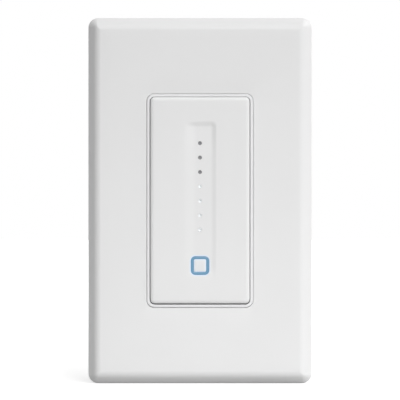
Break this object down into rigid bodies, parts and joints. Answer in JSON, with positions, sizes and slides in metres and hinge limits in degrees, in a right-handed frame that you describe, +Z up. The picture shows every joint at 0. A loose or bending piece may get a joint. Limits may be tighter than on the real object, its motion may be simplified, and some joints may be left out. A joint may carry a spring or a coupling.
{
  "type": "smart dimmer switch",
  "caption": "Wall dimmer switch: bevelled screwless plate round a hinged touch paddle with a slider groove, a dot light column and a square light ring, on a rear terminal box.",
  "frame": {"origin": "midway between the two box screws, on the wall surface (back plane of yoke and wall plate)", "axes": "+X to the right as seen from the room, +Y into the wall, +Z up"},
  "size_m": [0.0698, 0.0384, 0.1142],
  "materials": {
    "plate_plastic": "soft satin moulded white",
    "sub_plate_plastic": "plain moulded white",
    "bezel_plastic": "satin moulded white",
    "paddle_plastic": "fine satin moulded white",
    "dot_lens": "clear milky light pipe",
    "ring_lens": "blue lit light guide",
    "black_plastic": "matt black",
    "circuit_board": "green solder mask",
    "led_body": "white chip package",
    "spring_steel": "rolled strip",
    "flex_film": "amber polyimide film",
    "connector_plastic": "natural nylon",
    "connector_pins": "black header",
    "switch_body": "matt black",
    "plunger_plastic": "matt dark grey",
    "shield_can": "tinned steel can",
    "yoke_aluminium": "brushed sheet",
    "zinc_plated_steel": "bright zinc",
    "fibre": "red fibre sheet",
    "earth_green": "green passivated steel",
    "housing_plastic": "dark moulded, finely textured",
    "terminal_brass": "plain brass",
    "thermal_rubber": "grey silicone pad",
    "moulded_epoxy": "moulded epoxy package",
    "taped_winding": "yellow tape over a ferrite core",
    "ferrite": "sintered ferrite",
    "film_box": "boxed film"
  },
  "bodies": {
    "chassis": {"sub_plate": "sub_plate_plastic", "sub_plate_screws": "zinc_plated_steel", "box_screws": "zinc_plated_steel", "screw_retainers": "fibre", "yoke": "yoke_aluminium", "ground_screw": "earth_green", "bezel_frame": "bezel_plastic", "return_spring": "spring_steel", "flex_cable": "flex_film", "flex_socket": "connector_plastic", "control_board": "circuit_board", "tact_switch": "switch_body", "radio_module": "shield_can", "board_header": "connector_pins", "rear_housing": "housing_plastic", "terminal_plates": "terminal_brass", "terminal_clamps": "zinc_plated_steel", "terminal_screws": "terminal_brass", "power_board": "circuit_board", "thermal_pad": "thermal_rubber", "power_transistors": "moulded_epoxy", "transformer": "taped_winding", "filter_choke": "ferrite", "film_capacitor": "film_box"},
    "paddle_assembly": {"paddle": "paddle_plastic", "dot_lenses": "dot_lens", "ring_light_guide": "ring_lens", "ring_center_cap": "paddle_plastic", "light_baffle": "black_plastic", "touch_board": "circuit_board", "indicator_leds": "led_body"},
    "switch_plunger": {"tact_plunger": "plunger_plastic"},
    "cover": {"wall_plate": "plate_plastic"}
  },
  "joints": [
    {"name": "paddle_press", "type": "hinge", "parent": "chassis", "child": "paddle_assembly", "pos_m": [0, -0.00405, 0.0292], "axis": [1, 0, 0], "range_deg": [0, 0.93], "stiffness_Nm_per_rad": 2.5, "springref_deg": -1.72, "deforming": ["return_spring", "flex_cable"]},
    {"name": "tact_press", "type": "slide", "parent": "chassis", "child": "switch_plunger", "axis": [0, 1, 0], "range_m": [0, 0.00093]},
    {"name": "wall_plate_release", "type": "slide", "parent": "chassis", "child": "cover", "axis": [0, -1, 0], "range_m": [0, 0.03]}
  ],
  "couplings": [
    {"joint": "tact_press", "follows": "paddle_press", "m_per_rad": 0.0562}
  ]
}
